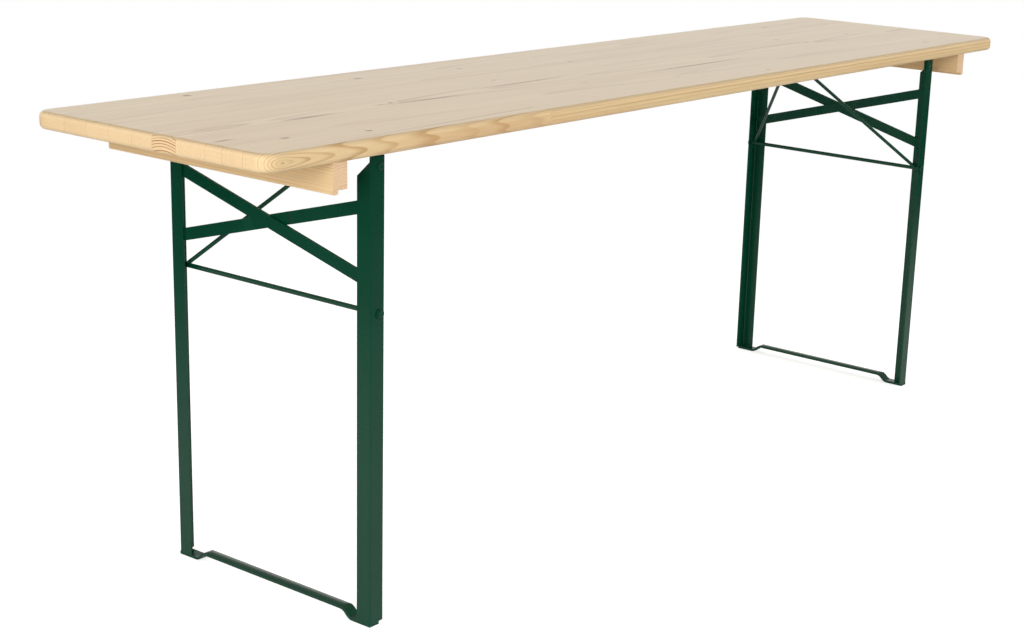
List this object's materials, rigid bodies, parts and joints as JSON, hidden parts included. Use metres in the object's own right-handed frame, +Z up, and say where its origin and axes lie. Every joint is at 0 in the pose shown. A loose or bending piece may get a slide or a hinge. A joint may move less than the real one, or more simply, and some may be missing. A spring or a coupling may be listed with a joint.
{
  "type": "folding trestle table",
  "caption": "Long narrow table of edge-glued softwood boards on steel angle trestles that fold flat under the top, each propped by a round-rod bail held in a leaf-spring catch.",
  "frame": {"origin": "on the floor under the middle of the top", "axes": "+X along the table, +Y across it towards the back, +Z up"},
  "size_m": [2.2, 0.5, 0.77],
  "materials": {
    "top_wood": "clear satin varnish on pine",
    "batten_wood": "planed pine, clear varnish",
    "green_paint": "glossy dark green enamel on steel",
    "spring_steel": "blued spring steel",
    "screw_steel": "zinc plated"
  },
  "bodies": {
    "tabletop": {"top_stave_01": "top_wood", "top_stave_02": "top_wood", "top_stave_03": "top_wood", "top_stave_04": "top_wood", "top_stave_05": "top_wood", "top_stave_06": "top_wood", "top_stave_07": "top_wood", "top_stave_08": "top_wood", "top_stave_09": "top_wood", "top_stave_10": "top_wood", "end_batten_left": "batten_wood", "end_batten_right": "batten_wood", "batten_screws": "screw_steel", "hinge_bracket_left_front": "green_paint", "hinge_bracket_left_back": "green_paint", "hinge_bracket_right_front": "green_paint", "hinge_bracket_right_back": "green_paint", "bracket_screws": "screw_steel", "catch_spring_left": "spring_steel", "catch_spring_right": "spring_steel", "catch_screws": "screw_steel"},
    "trestle_left": {"leg_left_front": "green_paint", "leg_left_back": "green_paint", "brace_left_outer": "green_paint", "brace_left_inner": "green_paint", "foot_bar_left": "green_paint", "hinge_rivets_left": "green_paint"},
    "bail_left": {"bail_pivot_rod_left": "green_paint", "bail_washers_left": "green_paint", "bail_loop_left": "green_paint"},
    "trestle_right": {"leg_right_front": "green_paint", "leg_right_back": "green_paint", "brace_right_outer": "green_paint", "brace_right_inner": "green_paint", "foot_bar_right": "green_paint", "hinge_rivets_right": "green_paint"},
    "bail_right": {"bail_pivot_rod_right": "green_paint", "bail_washers_right": "green_paint", "bail_loop_right": "green_paint"}
  },
  "joints": [
    {"name": "fold_left", "type": "hinge", "parent": "tabletop", "child": "trestle_left", "pos_m": [-0.85, 0, 0.72], "axis": [0, -1, 0], "range_deg": [0, 90], "deforming": ["catch_spring_left"]},
    {"name": "bail_swing_left", "type": "hinge", "parent": "trestle_left", "child": "bail_left", "pos_m": [-0.85, 0, 0.499], "axis": [0, 1, 0], "range_deg": [0, 138.17]},
    {"name": "fold_right", "type": "hinge", "parent": "tabletop", "child": "trestle_right", "pos_m": [0.85, 0, 0.72], "axis": [0, 1, 0], "range_deg": [0, 90], "deforming": ["catch_spring_right"]},
    {"name": "bail_swing_right", "type": "hinge", "parent": "trestle_right", "child": "bail_right", "pos_m": [0.85, 0, 0.499], "axis": [0, -1, 0], "range_deg": [0, 138.17]}
  ],
  "couplings": [
    {"joint": "bail_swing_left", "follows": "fold_left", "ratio": 1.5351},
    {"joint": "bail_swing_right", "follows": "fold_right", "ratio": 1.5351}
  ]
}
